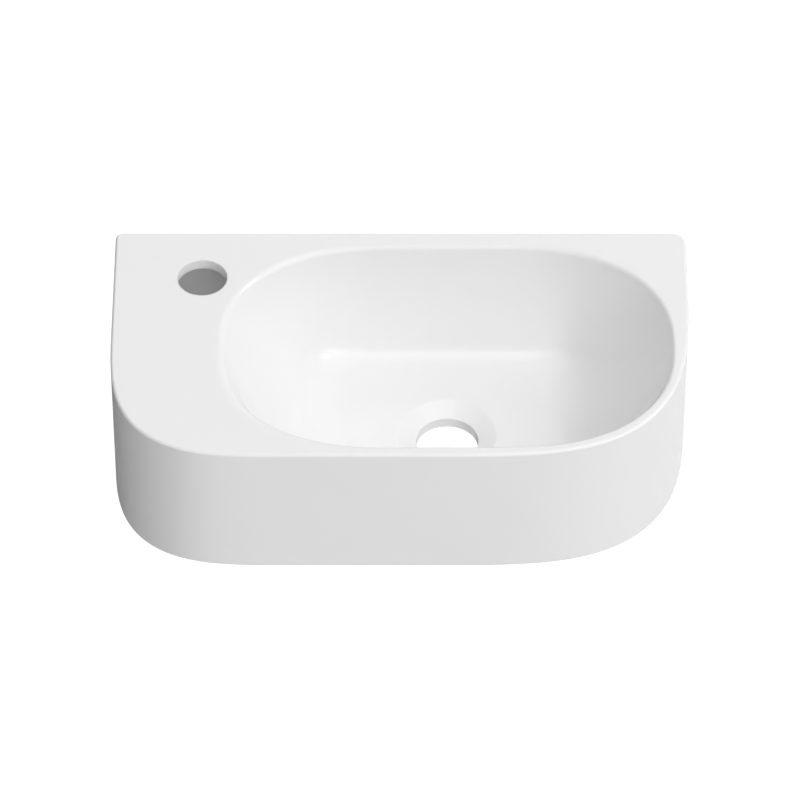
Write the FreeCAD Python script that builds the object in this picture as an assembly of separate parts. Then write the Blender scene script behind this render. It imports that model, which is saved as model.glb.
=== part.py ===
import FreeCAD, Part
import math
import os

Vector = FreeCAD.Vector

# A wall-hung hand basin in glazed ceramic with its two wall fixings.
# Frame: origin midway between the two fixing bolts on the wall plane, +X to the right as seen from the
# front, +Y into the wall, +Z up. The bowl and its waste hole stand on x = 0. Millimetres.

# Ceramic body, overall
BASIN_LENGTH = 405.0        # left side to right side
BASIN_DEPTH = 220.0         # wall to front
BASIN_HEIGHT = 112.0        # deck to lower edge
BOLT_DROP = 65.0            # deck down to the line of the fixing bolts

# Outline of the body in plan: each soft corner reaches this far along the two sides it joins
LEFT_CORNER = 126.0         # front left
RIGHT_CORNER = 178.0        # front right, along the front
RIGHT_SIDE_STRAIGHT = 42.0  # straight part of the right side, behind that corner
BACK_LEFT_CORNER = 8.0
BACK_RIGHT_CORNER = 16.0
OUTLINE_FULLNESS = (0.46, 0.26)  # where a soft corner's inner poles stand on each leg, from its corner point

# Thicknesses and edges of the body
SKIRT_WALL = 9.0
BACK_WALL = 10.0
DECK_THICKNESS = 8.0
BOWL_SHELL = 8.0
TOP_EDGE_ROUND = 2.2
LOWER_EDGE_ROUND = 2.0
CAVITY_CORNER = 10.0        # reach of the two back corners inside the skirt

# Bowl
TAP_DECK = 77.5             # deck left of the bowl
RIGHT_RIM = 11.5            # deck right of the bowl
FRONT_RIM = 9.2             # deck in front of the bowl
BACK_RIM = 14.5             # deck behind the bowl
RIM_CORNER = 118.5          # reach of the bowl's four corners along its front and back edges
RIM_END_STRAIGHT = 1.0      # straight part of its two ends
RIM_FULLNESS = (0.80, 0.33)
RIM_ROUND = 4.0
BOWL_DEPTH = 87.0           # deck to the edge of the floor
END_WALL_LEAN = 38.0        # degrees from upright
SIDE_WALL_LEAN = 13.4
END_FLOOR_RADIUS = 46.0     # curve between an end wall and the floor
SIDE_FLOOR_RADIUS = 13.0
FLOOR_CORNER = 14.0         # reach of the floor's four corners

# Waste outlet
WASTE_FROM_WALL = 114.5     # the bowl narrows down to the waste hole's axis
FLOOR_FALL = 1.6            # the floor falls this much from its edge to the dish
FLOOR_EDGE = 1.5            # level strip round the fall
DISH_RADIUS = 35.0
DISH_DEPTH = 6.4
DISH_ROUND = 4.0
WASTE_HOLE_RADIUS = 22.0
WASTE_WALL = 8.0            # length of the hole, with its two rounded edges
WASTE_EDGE_ROUND = 0.8
WASTE_BOSS_RADIUS = 44.0

# Tap hole
TAP_HOLE_RADIUS = 17.5
TAP_FROM_LEFT = 62.5        # tap hole centre from the left side
TAP_FROM_WALL = 46.0
TAP_EDGE_ROUND = 0.5

# Wall fixings: hanger bolt in a wall plug, bush, washer, nut and cap
BOLT_INSET = 23.0           # bolt's axis, in from the bowl's end
BOLT_RADIUS = 4.0
BOLT_REACH = 29.0           # threaded end, in front of the wall plane
BOLT_CHAMFER = 0.8
SCREW_RADIUS = 3.6          # the end that is driven into the plug
SCREW_LENGTH = 48.0
SCREW_TIP = 6.0
PLUG_RADIUS = 6.0           # the collar, which fits the drilled hole
PLUG_ARM_RADIUS = 5.6       # the split arms behind the collar
PLUG_LENGTH = 54.0
PLUG_COLLAR = 14.0          # part of the plug that isn't split
PLUG_SPLIT = 1.6
PLUG_NOSE = 1.4             # chamfer at the far end
PLUG_LIP = 0.8              # thin lip that stops the plug at the wall plane
FIXING_HOLE_RADIUS = 7.0
BUSH_FLANGE_RADIUS = 12.0
BUSH_FLANGE = 2.5
WASHER_RADIUS = 12.0
WASHER_THICKNESS = 2.0
NUT_ACROSS_FLATS = 13.0
NUT_HEIGHT = 6.5
NUT_CHAMFER_RISE = 0.7
CAP_WALL = 1.6
CAP_TOP = 2.0
CAP_EDGE_ROUND = 3.0
CAP_HEADROOM = 2.0          # inside the cap, beyond the bolt's end

# Clearances
BUSH_IN_HOLE = 0.2
BUSH_OFF_PLUG = 0.2
BOLT_IN_BUSH = 0.2
LIP_IN_HOLE = 0.3
SCREW_IN_PLUG = 0.05
NUT_ON_BOLT = 0.05
CAP_ON_NUT = 0.3
CAP_OFF_WASHER = 0.3
CUT_SPARE = 2.0             # how far a cutting solid runs past the face that it opens
SHORTEST_EDGE = 1e-6

# Places worked out from the sizes above
RIM_LENGTH = BASIN_LENGTH - TAP_DECK - RIGHT_RIM
RIM_WIDTH = BASIN_DEPTH - BACK_RIM - FRONT_RIM
RIGHT_X = RIM_LENGTH / 2 + RIGHT_RIM
LEFT_X = RIGHT_X - BASIN_LENGTH
FRONT_Y = -BASIN_DEPTH
RIM_Y = -BACK_RIM - RIM_WIDTH / 2
WASTE_Y = -WASTE_FROM_WALL
DECK_Z = BOLT_DROP
LOWER_Z = DECK_Z - BASIN_HEIGHT
BUSH_FACE_Y = -BACK_WALL - BUSH_FLANGE
WASHER_FACE_Y = BUSH_FACE_Y - WASHER_THICKNESS
BOLT_X = RIM_LENGTH / 2 - BOLT_INSET
SIDES = {"left": -BOLT_X, "right": BOLT_X}


def soft_corner(start, corner, end, fullness):
    """Corner curve that leaves both sides without a jump in curvature."""
    near_end, near_corner = fullness
    curve = Part.BezierCurve()
    curve.setPoles([
        start,
        corner + (start - corner) * near_end,
        corner + (start - corner) * near_corner,
        corner + (end - corner) * near_corner,
        corner + (end - corner) * near_end,
        end,
    ])
    return curve.toShape()


def soft_polygon(corners, z, fullness):
    """Closed wire at height z: each corner is (x, y, reach along x, reach along y), taken in order."""
    legs = []
    for index, (x, y, reach_x, reach_y) in enumerate(corners):
        before_x, before_y = corners[index - 1][:2]
        after_x, after_y = corners[(index + 1) % len(corners)][:2]
        legs.append((
            Vector(x + math.copysign(reach_x, before_x - x) * (before_x != x),
                   y + math.copysign(reach_y, before_y - y) * (before_y != y), z),
            Vector(x, y, z),
            Vector(x + math.copysign(reach_x, after_x - x) * (after_x != x),
                   y + math.copysign(reach_y, after_y - y) * (after_y != y), z),
        ))
    edges = []
    for index, (start, corner, end) in enumerate(legs):
        edges.append(soft_corner(start, corner, end, fullness))
        edges.append(Part.makeLine(end, legs[(index + 1) % len(legs)][0]))
    return Part.Wire(edges)


def body_outline(inset, back_y, back_left, back_right, z):
    """Plan outline of the body, drawn in from the sides and the front by the inset."""
    left, right, front = LEFT_X + inset, RIGHT_X - inset, FRONT_Y + inset
    right_reach = BASIN_DEPTH - RIGHT_SIDE_STRAIGHT - inset
    return soft_polygon([
        (left, back_y, back_left, back_left),
        (left, front, LEFT_CORNER - inset, LEFT_CORNER - inset),
        (right, front, RIGHT_CORNER - inset, right_reach),
        (right, back_y, back_right, back_right),
    ], z, OUTLINE_FULLNESS)


def wall_half(rim_half, lean, radius, depth):
    """Half size of the bowl at a depth: a leaning straight wall, then a curve onto the floor."""
    slope = math.radians(lean)
    foot = rim_half - BOWL_DEPTH * math.tan(slope)
    tangent = radius * math.tan((math.pi / 2 - slope) / 2)
    height = BOWL_DEPTH - depth
    if height >= tangent * math.cos(slope):
        return rim_half - depth * math.tan(slope)
    return foot - tangent + math.sqrt(radius ** 2 - (radius - height) ** 2)


def bowl_ring(depth, grow):
    """Outline of the bowl at a depth; grow moves it out and down to the outside of the shell."""
    inside = depth - grow
    share = min(max(inside, 0.0) / BOWL_DEPTH, 1.0)
    half_length = wall_half(RIM_LENGTH / 2, END_WALL_LEAN, END_FLOOR_RADIUS, inside) + grow
    half_width = wall_half(RIM_WIDTH / 2, SIDE_WALL_LEAN, SIDE_FLOOR_RADIUS, inside) + grow
    rim_reach_y = (RIM_WIDTH - RIM_END_STRAIGHT) / 2
    reach_x = RIM_CORNER + (FLOOR_CORNER - RIM_CORNER) * share + grow
    reach_y = rim_reach_y + (FLOOR_CORNER - rim_reach_y) * share + grow
    centre_y = RIM_Y + (WASTE_Y - RIM_Y) * share
    back, front = centre_y + half_width, centre_y - half_width
    return soft_polygon([
        (-half_length, back, reach_x, reach_y),
        (-half_length, front, reach_x, reach_y),
        (half_length, front, reach_x, reach_y),
        (half_length, back, reach_x, reach_y),
    ], DECK_Z - depth, RIM_FULLNESS)


def bowl_solid(grow):
    """Bowl from above the deck to its floor, as a loft through rings spaced along the end wall's curve."""
    slope = math.radians(END_WALL_LEAN)
    turn = math.pi / 2 - slope
    wall_foot = BOWL_DEPTH - END_FLOOR_RADIUS * (1 - math.cos(turn))
    wall_steps, floor_steps = 4, 7
    depths = [-CUT_SPARE + (wall_foot + CUT_SPARE) * step / wall_steps for step in range(wall_steps)]
    for step in range(floor_steps + 1):
        angle = turn * (1 - step / floor_steps)
        depths.append(BOWL_DEPTH - END_FLOOR_RADIUS * (1 - math.cos(angle)))
    return Part.makeLoft([bowl_ring(depth + grow, grow) for depth in depths], True, False)


def rounded_wire(points, place):
    """Closed wire through (u, v, rounding) corners, each rounding a tangent arc; place turns (u, v) to 3-D."""
    tangents = []
    for index, (u, v, rounding) in enumerate(points):
        here = Vector(u, v, 0)
        before = Vector(*points[index - 1][:2], 0) - here
        after = Vector(*points[(index + 1) % len(points)][:2], 0) - here
        before.normalize()
        after.normalize()
        half_angle = before.getAngle(after) / 2
        length = rounding / math.tan(half_angle)
        inward = before + after
        inward.normalize()
        top = here + inward * (rounding / math.sin(half_angle) - rounding)
        tangents.append((here + before * length, top, here + after * length, rounding))
    edges = []
    for index, (start, top, end, rounding) in enumerate(tangents):
        if rounding:
            edges.append(Part.Arc(place(start), place(top), place(end)).toShape())
        following = tangents[(index + 1) % len(tangents)][0]
        if end.distanceToPoint(following) > SHORTEST_EDGE:
            edges.append(Part.makeLine(place(end), place(following)))
    return Part.Wire(edges)


def turned_upright(points, x, y):
    """Solid of revolution about an upright axis from (radius, z, rounding) corners."""
    wire = rounded_wire(points, lambda p: Vector(x + p.x, y, p.y))
    return Part.Face(wire).revolve(Vector(x, y, 0), Vector(0, 0, 1), 360)


def turned_fixing(points, x):
    """Solid of revolution about a fixing bolt's axis from (radius, y, rounding) corners."""
    wire = rounded_wire(points, lambda p: Vector(x + p.x, p.y, 0))
    return Part.Face(wire).revolve(Vector(x, 0, 0), Vector(0, 1, 0), 360)


def edges_at(shape, z):
    """Edges of a shape that lie wholly at one height."""
    tolerance = 1e-4
    level = []
    for edge in shape.Edges:
        if abs(edge.BoundBox.ZMin - z) < tolerance and abs(edge.BoundBox.ZMax - z) < tolerance:
            level.append(edge)
    return level


def outer_block():
    """Body before it is hollowed, with its top and lower edges rounded."""
    outline = body_outline(0.0, 0.0, BACK_LEFT_CORNER, BACK_RIGHT_CORNER, LOWER_Z)
    block = Part.Face(outline).extrude(Vector(0, 0, BASIN_HEIGHT))
    block = block.makeFillet(TOP_EDGE_ROUND, edges_at(block, DECK_Z))
    return block.makeFillet(LOWER_EDGE_ROUND, edges_at(block, LOWER_Z))


def underside_space():
    """Space under the deck and round the bowl's shell, open downwards."""
    outline = body_outline(SKIRT_WALL, -BACK_WALL, CAVITY_CORNER, CAVITY_CORNER, LOWER_Z - CUT_SPARE)
    space = Part.Face(outline).extrude(Vector(0, 0, BASIN_HEIGHT - DECK_THICKNESS + CUT_SPARE))
    boss_top = DECK_Z - BOWL_DEPTH
    boss_foot = boss_top - FLOOR_FALL - DISH_DEPTH - WASTE_WALL
    boss = Part.makeCylinder(WASTE_BOSS_RADIUS, boss_top - boss_foot, Vector(0, WASTE_Y, boss_foot))
    return space.cut([bowl_solid(BOWL_SHELL), boss])


def waste_cutter():
    """Fall of the floor, dish and hole of the waste outlet."""
    floor_z = DECK_Z - BOWL_DEPTH
    dish_z = floor_z - FLOOR_FALL
    hole_z = dish_z - DISH_DEPTH
    foot_z = hole_z - WASTE_WALL
    half_length = wall_half(RIM_LENGTH / 2, END_WALL_LEAN, END_FLOOR_RADIUS, BOWL_DEPTH)
    half_width = wall_half(RIM_WIDTH / 2, SIDE_WALL_LEAN, SIDE_FLOOR_RADIUS, BOWL_DEPTH)
    fall_radius = max(min(half_length, half_width) - FLOOR_EDGE, DISH_RADIUS + DISH_ROUND)
    cut_top = floor_z + CUT_SPARE
    return turned_upright([
        (0.0, cut_top, 0.0),
        (fall_radius, cut_top, 0.0),
        (fall_radius, floor_z, 0.0),
        (DISH_RADIUS, dish_z, DISH_ROUND),
        (WASTE_HOLE_RADIUS, hole_z, WASTE_EDGE_ROUND),
        (WASTE_HOLE_RADIUS, foot_z - CUT_SPARE, 0.0),
        (0.0, foot_z - CUT_SPARE, 0.0),
    ], 0.0, WASTE_Y)


def tap_cutter():
    """Tap hole through the deck, with a rounded upper edge."""
    foot_z = DECK_Z - DECK_THICKNESS - CUT_SPARE
    top_radius = TAP_HOLE_RADIUS + TAP_EDGE_ROUND
    return turned_upright([
        (0.0, foot_z, 0.0),
        (TAP_HOLE_RADIUS, foot_z, 0.0),
        (TAP_HOLE_RADIUS, DECK_Z, TAP_EDGE_ROUND),
        (top_radius, DECK_Z, 0.0),
        (top_radius, DECK_Z + CUT_SPARE, 0.0),
        (0.0, DECK_Z + CUT_SPARE, 0.0),
    ], LEFT_X + TAP_FROM_LEFT, -TAP_FROM_WALL)


def fixing_hole(x):
    """Hole for a fixing bolt and its bush through the back wall."""
    length = BACK_WALL + 2 * CUT_SPARE
    return Part.makeCylinder(FIXING_HOLE_RADIUS, length, Vector(x, CUT_SPARE, 0), Vector(0, -1, 0))


def basin_body():
    """The ceramic casting."""
    body = outer_block().cut([underside_space(), bowl_solid(0.0)])
    deck = max(body.Faces, key=lambda face: face.CenterOfMass.z)
    rim = min(deck.Wires, key=lambda wire: abs(wire.BoundBox.Center.x))
    body = body.makeFillet(RIM_ROUND, rim.Edges)
    return body.cut([waste_cutter(), tap_cutter()] + [fixing_hole(x) for x in SIDES.values()])


def wall_plug(x):
    """Nylon plug in the wall, split along its length behind a plain collar."""
    bore = SCREW_RADIUS + SCREW_IN_PLUG
    lip_radius = FIXING_HOLE_RADIUS - LIP_IN_HOLE
    plug = turned_fixing([
        (bore, -PLUG_LIP, 0.0),
        (lip_radius, -PLUG_LIP, 0.0),
        (lip_radius, 0.0, 0.0),
        (PLUG_RADIUS, 0.0, 0.0),
        (PLUG_RADIUS, PLUG_COLLAR, 0.0),
        (PLUG_ARM_RADIUS, PLUG_COLLAR, 0.0),
        (PLUG_ARM_RADIUS, PLUG_LENGTH - PLUG_NOSE, 0.0),
        (PLUG_ARM_RADIUS - PLUG_NOSE, PLUG_LENGTH, 0.0),
        (bore, PLUG_LENGTH, 0.0),
    ], x)
    corner = Vector(x - PLUG_RADIUS - CUT_SPARE, PLUG_COLLAR, -PLUG_SPLIT / 2)
    split = Part.makeBox(2 * (PLUG_RADIUS + CUT_SPARE), PLUG_LENGTH, PLUG_SPLIT, corner)
    return plug.cut(split)


def hanger_bolt(x):
    """Steel bolt: a wood screw in the plug, a machine thread in front of the wall."""
    return turned_fixing([
        (0.0, -BOLT_REACH, 0.0),
        (BOLT_RADIUS - BOLT_CHAMFER, -BOLT_REACH, 0.0),
        (BOLT_RADIUS, -BOLT_REACH + BOLT_CHAMFER, 0.0),
        (BOLT_RADIUS, -PLUG_LIP, 0.0),
        (SCREW_RADIUS, -PLUG_LIP, 0.0),
        (SCREW_RADIUS, SCREW_LENGTH - SCREW_TIP, 0.0),
        (0.0, SCREW_LENGTH, 0.0),
    ], x)


def bush(x):
    """Nylon sleeve with a flange, between the bolt and the ceramic."""
    inner = BOLT_RADIUS + BOLT_IN_BUSH
    outer = FIXING_HOLE_RADIUS - BUSH_IN_HOLE
    end_y = -PLUG_LIP - BUSH_OFF_PLUG
    return turned_fixing([
        (inner, end_y, 0.0),
        (outer, end_y, 0.0),
        (outer, -BACK_WALL, 0.0),
        (BUSH_FLANGE_RADIUS, -BACK_WALL, 0.0),
        (BUSH_FLANGE_RADIUS, BUSH_FACE_Y, 0.0),
        (inner, BUSH_FACE_Y, 0.0),
    ], x)


def washer(x):
    """Steel washer on the bush's flange."""
    inner = BOLT_RADIUS + BOLT_IN_BUSH
    return turned_fixing([
        (inner, BUSH_FACE_Y, 0.0),
        (WASHER_RADIUS, BUSH_FACE_Y, 0.0),
        (WASHER_RADIUS, WASHER_FACE_Y, 0.0),
        (inner, WASHER_FACE_Y, 0.0),
    ], x)


def nut_corner_radius():
    """Half the nut's width across its corners."""
    return NUT_ACROSS_FLATS / 2 / math.cos(math.radians(30))


def nut(x):
    """Hexagon nut with chamfered corners."""
    corner = nut_corner_radius()
    points = [Vector(x + corner * math.cos(math.radians(60 * turn)), WASHER_FACE_Y,
                     corner * math.sin(math.radians(60 * turn))) for turn in range(6)]
    prism = Part.Face(Part.makePolygon(points + points[:1])).extrude(Vector(0, -NUT_HEIGHT, 0))
    flat = NUT_ACROSS_FLATS / 2
    top_y = WASHER_FACE_Y - NUT_HEIGHT
    bore = BOLT_RADIUS + NUT_ON_BOLT
    blank = turned_fixing([
        (bore, WASHER_FACE_Y, 0.0),
        (flat, WASHER_FACE_Y, 0.0),
        (corner, WASHER_FACE_Y - NUT_CHAMFER_RISE, 0.0),
        (corner, top_y + NUT_CHAMFER_RISE, 0.0),
        (flat, top_y, 0.0),
        (bore, top_y, 0.0),
    ], x)
    return prism.common(blank)


def nut_cap(x):
    """Plastic cover cap pushed over the nut and the bolt's end."""
    inner = nut_corner_radius() + CAP_ON_NUT
    outer = inner + CAP_WALL
    mouth_y = WASHER_FACE_Y - CAP_OFF_WASHER
    inside_y = -BOLT_REACH - CAP_HEADROOM
    top_y = inside_y - CAP_TOP
    return turned_fixing([
        (inner, mouth_y, 0.0),
        (outer, mouth_y, 0.0),
        (outer, top_y, CAP_EDGE_ROUND),
        (0.0, top_y, 0.0),
        (0.0, inside_y, 0.0),
        (inner, inside_y, 0.0),
    ], x)


FIXING_PIECES = {
    "wall_plug": wall_plug,
    "hanger_bolt": hanger_bolt,
    "bush": bush,
    "washer": washer,
    "nut": nut,
    "nut_cap": nut_cap,
}


def main():
    """Builds every piece and writes one STEP file for each."""
    os.makedirs("parts", exist_ok=True)
    pieces = {"basin_body": basin_body()}
    for side, x in SIDES.items():
        for name, make in FIXING_PIECES.items():
            pieces[f"{side}_{name}"] = make(x)
    for name, shape in pieces.items():
        shape.exportStep(os.path.join("parts", f"{name}.step"))
        print(f"{name}: {len(shape.Solids)} solid, valid {shape.isValid()}, {shape.Volume / 1000:.2f} cm3")


main()
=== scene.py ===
import logging
import math
from dataclasses import dataclass, field
from enum import Enum
from typing import Callable, Sequence

import bmesh
import bpy
import numpy as np
from mathutils import Matrix, Vector


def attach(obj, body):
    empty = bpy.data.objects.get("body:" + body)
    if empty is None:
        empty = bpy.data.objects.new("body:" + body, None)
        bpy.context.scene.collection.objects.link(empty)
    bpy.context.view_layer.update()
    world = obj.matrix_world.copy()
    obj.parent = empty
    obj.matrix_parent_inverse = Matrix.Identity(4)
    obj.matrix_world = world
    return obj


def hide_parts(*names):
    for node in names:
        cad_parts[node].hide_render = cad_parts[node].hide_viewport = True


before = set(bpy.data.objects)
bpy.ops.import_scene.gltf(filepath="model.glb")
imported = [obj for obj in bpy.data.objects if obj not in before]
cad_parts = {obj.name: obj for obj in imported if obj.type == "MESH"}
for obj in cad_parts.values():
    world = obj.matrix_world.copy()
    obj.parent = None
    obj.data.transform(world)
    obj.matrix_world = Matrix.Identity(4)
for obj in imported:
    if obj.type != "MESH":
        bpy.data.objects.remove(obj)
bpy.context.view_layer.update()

LOG = logging.getLogger("hand_basin")
MM = 0.001
QUARTER = math.pi / 2
SHARP_ANGLE = math.radians(32.0)
# Points nearer than this, in metres, are one point, and shorter edges are none
WELD = 1e-7
NO_EDGE = 1e-8
WHITE = (1.0, 1.0, 1.0, 1.0)

Material = bpy.types.Material
Node = bpy.types.Node
Piece = bpy.types.Object
Shape = bmesh.types.BMesh
Socket = bpy.types.NodeSocket
Tree = bpy.types.NodeTree
Pair = tuple[float, float]
# Sockets take a number, a colour, a vector or another node's output
SocketValue = object
# Rows of (x, y) in millimetres, or of (x, y, z) in metres
Loop = np.ndarray


class Side(Enum):
    """The two wall fixings."""

    LEFT = "left"
    RIGHT = "right"


class Joining(Enum):
    """How one closed mesh is joined to another."""

    ADD = "UNION"
    TAKE_AWAY = "DIFFERENCE"
    KEEP_COMMON = "INTERSECT"


def linear(hex_colour: str) -> tuple[float, float, float, float]:
    """Turns an sRGB hex colour into linear light.

    Args:
        hex_colour: Six hex digits with a leading #.

    Returns:
        Red, green, blue and an alpha of 1.
    """
    channels = [int(hex_colour[place:place + 2], 16) / 255 for place in (1, 3, 5)]
    light = [c / 12.92 if c <= 0.04045 else ((c + 0.055) / 1.055) ** 2.4 for c in channels]
    return light[0], light[1], light[2], 1.0


def add_node(
    tree: Tree,
    kind: str,
    sockets: dict[str | int, SocketValue] | None = None,
    **settings: SocketValue,
) -> Node:
    """Adds a node, sets its properties, and fills or links its inputs.

    Args:
        tree: The tree that gets the node.
        kind: Blender's name for the kind of node.
        sockets: Input name or number to a value or to another node's output.
        settings: Properties of the node.

    Returns:
        The new node.
    """
    node = tree.nodes.new(kind)
    for name, value in settings.items():
        setattr(node, name, value)
    for key, value in (sockets or {}).items():
        if isinstance(value, Socket):
            tree.links.new(value, node.inputs[key])
        else:
            node.inputs[key].default_value = value
    return node


def map_range(tree: Tree, value: Socket, old: Pair = (0.0, 1.0), new: Pair = (0.0, 1.0)) -> Socket:
    """The value, carried over from its old range to a new one."""
    return add_node(tree, "ShaderNodeMapRange", {
        "Value": value, "From Min": old[0], "From Max": old[1], "To Min": new[0], "To Max": new[1],
    }).outputs["Result"]


def calculate(tree: Tree, operation: str, first: SocketValue, second: SocketValue) -> Socket:
    """Result of a Math node on two values."""
    return add_node(tree, "ShaderNodeMath", {0: first, 1: second}, operation=operation).outputs[0]


def new_material(name: str) -> tuple[Material, Tree, Node]:
    """Makes a material with nodes.

    Args:
        name: Its name.

    Returns:
        The material, its tree and its Principled shader.
    """
    material = bpy.data.materials.new(name)
    material.use_nodes = True
    return material, material.node_tree, material.node_tree.nodes["Principled BSDF"]


def make_clear(tree: Tree, shader: Node, share: Socket) -> None:
    """Lets a material be seen through.

    Args:
        tree: The material's tree.
        shader: Its shader.
        share: How clear it is, up to 1.
    """
    clear = add_node(tree, "ShaderNodeBsdfTransparent")
    both = add_node(tree, "ShaderNodeMixShader", {"Fac": share, 1: shader.outputs[0], 2: clear.outputs[0]})
    tree.links.new(both.outputs[0], tree.nodes["Material Output"].inputs["Surface"])


@dataclass
class Coat:
    """A material in the making: its tree, its Principled shader, and Object coordinates in metres."""

    tree: Tree
    shader: Node
    place: Socket

    def link(self, name: str, source: Socket) -> None:
        """Links a node's output to the shader's input of this name."""
        self.tree.links.new(source, self.shader.inputs[name])

    def noise(self, width: float, detail: float) -> Socket:
        """Noise from 0 to 1, with features of this width in millimetres and this many octaves."""
        sockets = {"Vector": self.place, "Scale": 1.0 / (width * MM), "Detail": detail}
        return add_node(self.tree, "ShaderNodeTexNoise", sockets).outputs["Fac"]

    def mix(self, share: Socket, first: SocketValue, second: SocketValue) -> Socket:
        """Colour between two colours."""
        sockets = {"Factor": share, "A": first, "B": second}
        node = add_node(self.tree, "ShaderNodeMix", sockets, data_type="RGBA")
        return next(out for out in node.outputs if out.type == "RGBA")

    def ramp(self, share: Socket, low: str, high: str) -> Socket:
        """Colour on a ramp between two hex colours."""
        node = add_node(self.tree, "ShaderNodeValToRGB", {"Fac": share})
        for stop, colour in zip(node.color_ramp.elements, (low, high)):
            stop.color = linear(colour)
        return node.outputs["Color"]

    def bump(self, height: Socket, distance: float, **sockets: SocketValue) -> Socket:
        """Normal of a relief; the distance in millimetres is what a height of 1 stands for."""
        values = {"Height": height, "Distance": distance * MM, "Strength": 1.0, **sockets}
        return add_node(self.tree, "ShaderNodeBump", values).outputs["Normal"]


@dataclass(frozen=True)
class Finish:
    """A real material with its typical optics.

    The relief is what the making leaves on the surface: its width and its height, in millimetres.
    """

    name: str
    colour: str
    roughness: float
    relief_width: float
    relief_height: float
    ior: float = 1.5
    metallic: float = 0.0
    relief_detail: float = 2.0

    def build(self) -> Material:
        """Makes the material.

        Returns:
            The material, with its colour, roughness and relief from nodes.
        """
        material, tree, shader = new_material(self.name)
        shader.inputs["Metallic"].default_value = self.metallic
        shader.inputs["IOR"].default_value = self.ior
        self.dress(Coat(tree, shader, add_node(tree, "ShaderNodeTexCoord").outputs["Object"]))
        return material

    def dress(self, coat: Coat) -> None:
        """Links the colour, roughness and relief; each kind of finish has its own."""
        raise NotImplementedError

    def relief(self, coat: Coat) -> Socket:
        """Bump of the finish's own width and height."""
        return coat.bump(coat.noise(self.relief_width, self.relief_detail), self.relief_height)


@dataclass(frozen=True)
class GlazedChina(Finish):
    """Vitreous china, slip cast, with a fired white glaze; its wall face and its hollow are left bare.

    The glaze gives a deep gloss with a faint slow ripple. The bare clay is matt and less white; its tone
    is also set darker as painted shade inside the hollow.
    """

    relief_detail: float = 1.0
    # Mask of the bare faces, whose colour is partly the clay's own and partly painted shade of the hollow
    bare_and_shade_mark: str = "bare"
    # The bare clay's own off-white, set a little darker still as painted shade inside the hollow
    bare_clay_and_shade_colour: str = "#EEEEEE"
    bare_roughness: float = 0.72
    shade_colour: str = "#F5F5F5"
    shade_width: float = 70.0
    shade_detail: float = 2.0
    grit_width: float = 0.9
    grit_height: float = 0.05
    grit_detail: float = 3.0

    def dress(self, coat: Coat) -> None:
        """Links the glaze, and the bare clay with the hollow's painted shade where the mesh is marked for
        it.
        """
        bare = add_node(coat.tree, "ShaderNodeAttribute", attribute_name=self.bare_and_shade_mark).outputs["Fac"]
        cloud = coat.noise(self.shade_width, self.shade_detail)
        glaze = coat.mix(cloud, linear(self.shade_colour), linear(self.colour))
        # The bare faces get the clay colour, which also paints the hollow's shade
        coat.link("Base Color", coat.mix(bare, glaze, linear(self.bare_clay_and_shade_colour)))
        coat.link("Roughness", map_range(coat.tree, bare, new=(self.roughness, self.bare_roughness)))
        grit = coat.noise(self.grit_width, self.grit_detail)
        coat.link("Normal", coat.bump(grit, self.grit_height, Strength=bare, Normal=self.relief(coat)))


@dataclass(frozen=True)
class PlatedSteel(Finish):
    """Cold-formed steel with bright zinc plating.

    The plating is a cool grey metal with a soft blotchy gloss and a fine grain.
    """

    tint: str = "#B9BFC6"
    blotch_width: float = 3.0
    blotch_detail: float = 4.0
    roughness_spread: float = 0.14

    def dress(self, coat: Coat) -> None:
        """Links the blotchy gloss and the grain."""
        blotch = coat.noise(self.blotch_width, self.blotch_detail)
        coat.link("Base Color", coat.ramp(blotch, self.tint, self.colour))
        gloss = (self.roughness, self.roughness + self.roughness_spread)
        coat.link("Roughness", map_range(coat.tree, blotch, new=gloss))
        coat.link("Normal", self.relief(coat))


@dataclass(frozen=True)
class MouldedPlastic(Finish):
    """Plastic from a mould, with the mould's fine spark-eroded grain and a faint mottle."""

    mottle_colour: str = "#FFFFFF"
    mottle_width: float = 9.0
    mottle_detail: float = 3.0
    subsurface: float = 0.0

    def dress(self, coat: Coat) -> None:
        """Links the mottle and the grain."""
        mottle = coat.noise(self.mottle_width, self.mottle_detail)
        coat.link("Base Color", coat.ramp(mottle, self.colour, self.mottle_colour))
        coat.shader.inputs["Roughness"].default_value = self.roughness
        coat.shader.inputs["Subsurface Weight"].default_value = self.subsurface
        coat.shader.inputs["Subsurface Scale"].default_value = MM
        coat.link("Normal", self.relief(coat))


# White sanitary glaze: a deep wet gloss whose slow ripple bends reflections slightly
CHINA = GlazedChina("vitreous_china_fired_glaze", "#F8F8F8", 0.10, 16.0, 0.035, ior=1.52)
# Zinc on steel: bright cool metal, softly blotched; its 0.25 mm grain is drawn at 0.6 mm so that it shows
STEEL = PlatedSteel("steel_zinc_plated", "#D5D8DA", 0.22, 0.6, 0.006, metallic=1.0)
# Grey nylon wall plug: low sheen with a fine grain
PLUG_NYLON = MouldedPlastic("nylon_grey_moulded", "#74777A", 0.46, 0.5, 0.012, ior=1.53,
                            mottle_colour="#7F8285")
# Natural nylon bush: milky and a little waxy
BUSH_NYLON = MouldedPlastic("nylon_natural_moulded", "#E3DFD2", 0.38, 0.7, 0.008, ior=1.53,
                            mottle_colour="#EAE7DC", subsurface=0.15)
# White cover cap: smooth glossy polypropylene
CAP_PLASTIC = MouldedPlastic("polypropylene_white_moulded", "#EDEDEA", 0.26, 0.8, 0.005, ior=1.49,
                             mottle_colour="#F2F2F0", subsurface=0.05)


def mesh_object(name: str, mesh: bpy.types.Mesh) -> Piece:
    """Puts a mesh in the scene at the origin."""
    piece = bpy.data.objects.new(name, mesh)
    bpy.context.scene.collection.objects.link(piece)
    return piece


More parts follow.
